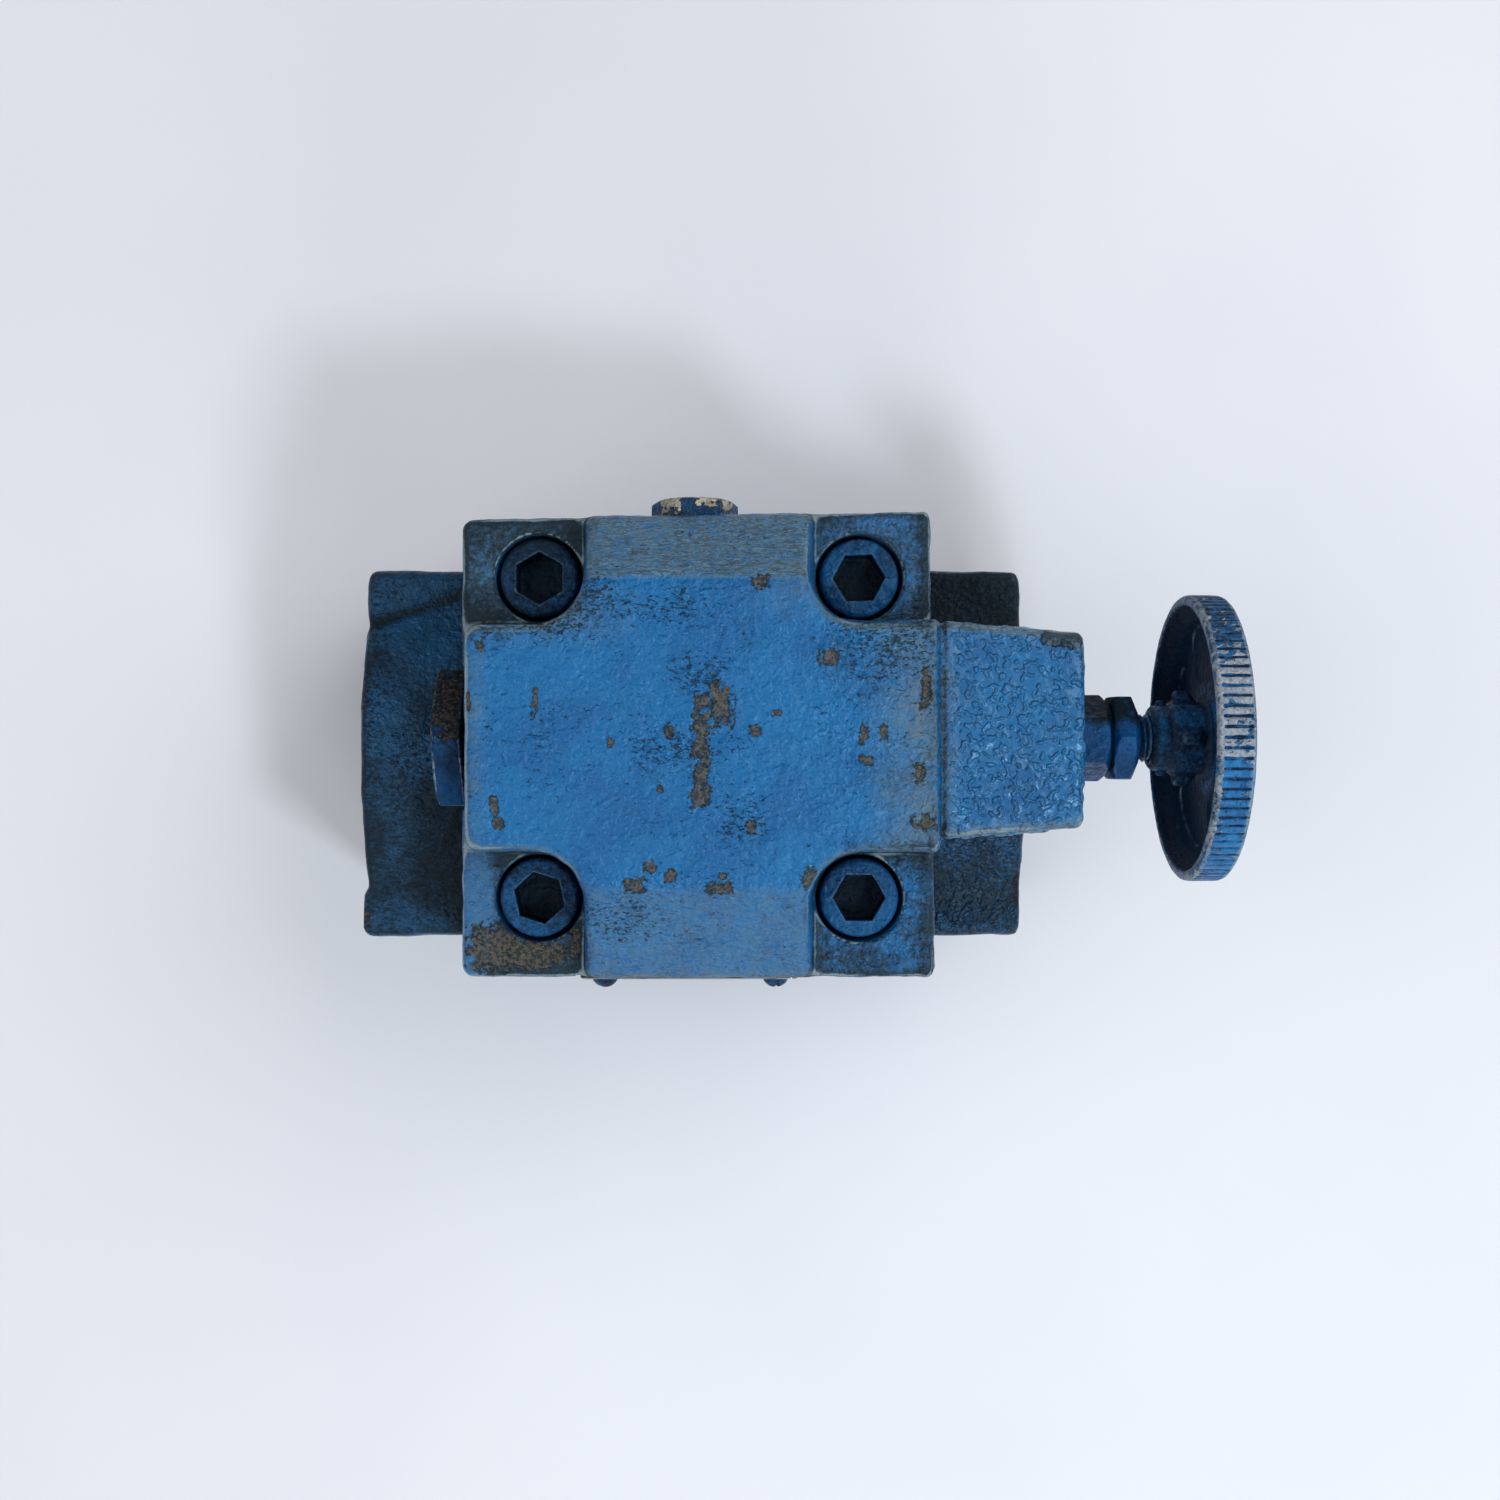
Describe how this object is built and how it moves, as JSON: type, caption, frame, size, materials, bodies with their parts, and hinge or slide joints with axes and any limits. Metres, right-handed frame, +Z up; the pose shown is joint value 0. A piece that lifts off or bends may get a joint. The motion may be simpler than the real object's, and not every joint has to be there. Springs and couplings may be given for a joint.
{
  "type": "flow control valve",
  "caption": "Cast block valve with in-line threaded ports, a bolted-on upper housing and a side handwheel that screws a throttle spool in and out.",
  "frame": {"origin": "on the flat base, under the middle of the four cap screws and under the throttle axis", "axes": "+X along the throttle axis towards the handwheel, +Y towards the vent plug, +Z up"},
  "size_m": [0.205, 0.1133, 0.1331],
  "materials": {
    "housing_paint": "worn gloss paint over rough cast iron",
    "body_paint": "dirty gloss paint over rough cast iron",
    "fastener_paint": "painted over with the castings, worn at the corners",
    "wheel_paint": "painted die casting, bare on the gripping rim",
    "steel": "ground",
    "spring_steel": "oiled spring wire",
    "brass": "turned",
    "seal_rubber": "matt",
    "plate_metal": "thin sheet, dull"
  },
  "bodies": {
    "valve": {"main_body": "body_paint", "throttle_housing": "housing_paint", "cap_screw_back_left": "fastener_paint", "cap_screw_back_right": "fastener_paint", "cap_screw_front_left": "fastener_paint", "cap_screw_front_right": "fastener_paint", "locating_dowel": "steel", "inlet_passage_o_ring": "seal_rubber", "outlet_passage_o_ring": "seal_rubber", "compensator_o_ring": "seal_rubber", "compensator_spring": "spring_steel", "damping_orifice": "brass", "bore_plug": "fastener_paint", "bore_plug_o_ring": "seal_rubber", "throttle_spring": "spring_steel", "stem_gland": "fastener_paint", "gland_o_ring": "seal_rubber", "vent_plug": "fastener_paint", "vent_plug_o_ring": "seal_rubber", "nameplate": "plate_metal", "nameplate_screw_left": "fastener_paint", "nameplate_screw_right": "fastener_paint"},
    "throttle": {"throttle_spool": "steel"},
    "adjuster": {"adjusting_stem": "fastener_paint", "stem_o_ring": "seal_rubber", "handwheel": "wheel_paint", "wheel_pin": "steel"},
    "washer": {"lock_washer": "steel"},
    "nut": {"lock_nut": "fastener_paint"},
    "compensator": {"compensator_spool": "steel"}
  },
  "joints": [
    {"name": "throttle_slide", "type": "slide", "parent": "valve", "child": "throttle", "axis": [1, 0, 0], "range_m": [-0.00188, 0.00505], "deforming": ["throttle_spring"]},
    {"name": "handwheel_turn", "type": "hinge", "parent": "throttle", "child": "adjuster", "pos_m": [0.1, 0, 0.1], "axis": [1, 0, 0], "range_deg": [-540, 1440]},
    {"name": "washer_slide", "type": "slide", "parent": "valve", "child": "washer", "axis": [1, 0, 0], "range_m": [0, 0.00079]},
    {"name": "lock_nut_turn", "type": "hinge", "parent": "washer", "child": "nut", "pos_m": [0.0978, 0, 0.1], "axis": [1, 0, 0], "range_deg": [0, 225]},
    {"name": "compensator_slide", "type": "slide", "parent": "valve", "child": "compensator", "axis": [0, 0, 1], "range_m": [-0.008, 0], "stiffness_N_per_m": 1500, "springref_m": 0.01, "deforming": ["compensator_spring"]}
  ],
  "couplings": [
    {"joint": "throttle_slide", "follows": "handwheel_turn", "m_per_rad": 0.00019894},
    {"joint": "washer_slide", "follows": "lock_nut_turn", "m_per_rad": 0.00019894}
  ]
}
